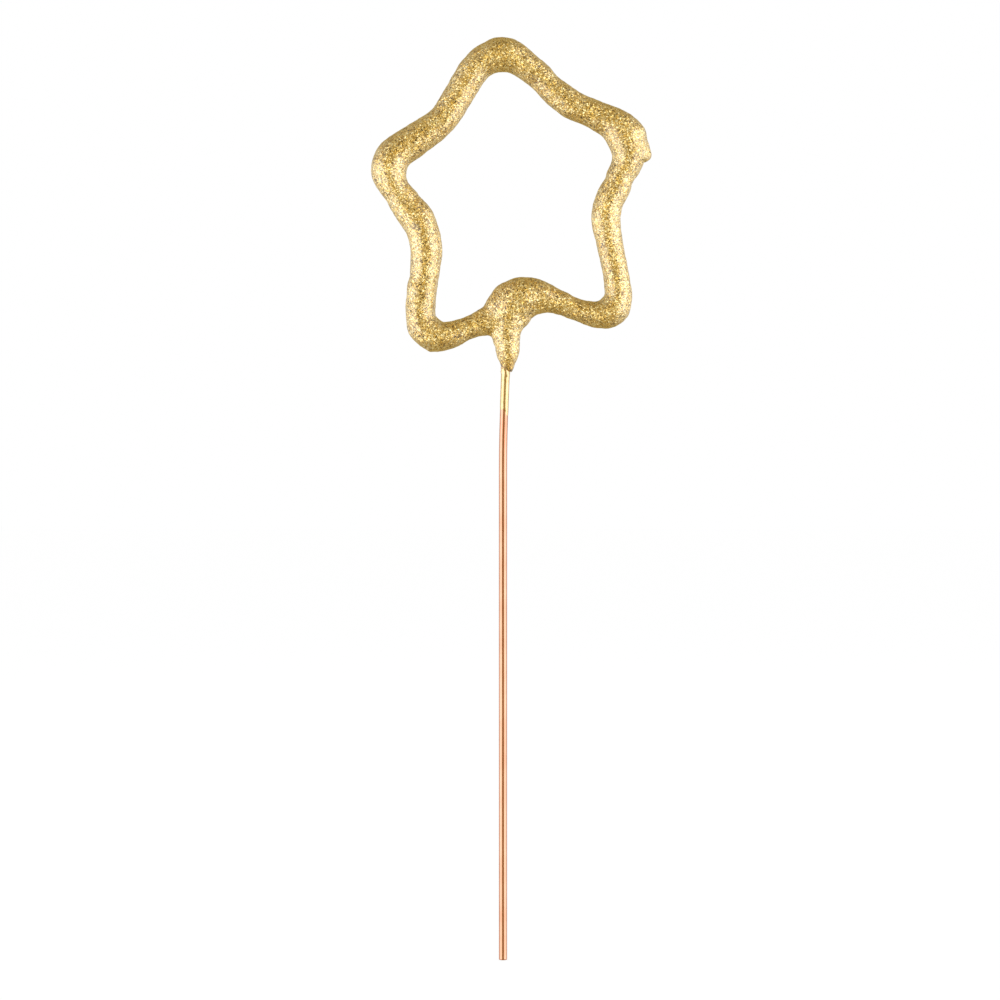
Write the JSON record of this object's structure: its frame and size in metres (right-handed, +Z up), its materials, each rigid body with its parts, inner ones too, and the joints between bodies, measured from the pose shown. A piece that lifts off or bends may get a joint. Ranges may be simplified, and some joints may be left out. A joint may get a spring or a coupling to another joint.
{
  "type": "sparkler",
  "caption": "Hand-held sparkler: a bare copper-coloured wire stem bent into a star outline, thickly dipped in grainy gold spark composition with rounded tips.",
  "frame": {"origin": "centre of the stem's cut foot", "axes": "+Z up the stem, the star lies in the XZ plane, the front looks along -Y"},
  "size_m": [0.055, 0.0076, 0.1799],
  "materials": {
    "copper_plated_steel": "satin",
    "grey_composition": "matte",
    "gold_composition": "satin",
    "gold_film": "satin"
  },
  "bodies": {
    "root": {"core_wire": "copper_plated_steel", "first_dip_coat": "grey_composition", "gold_dip_coat": "gold_composition", "gold_film": "gold_film"}
  },
  "joints": []
}
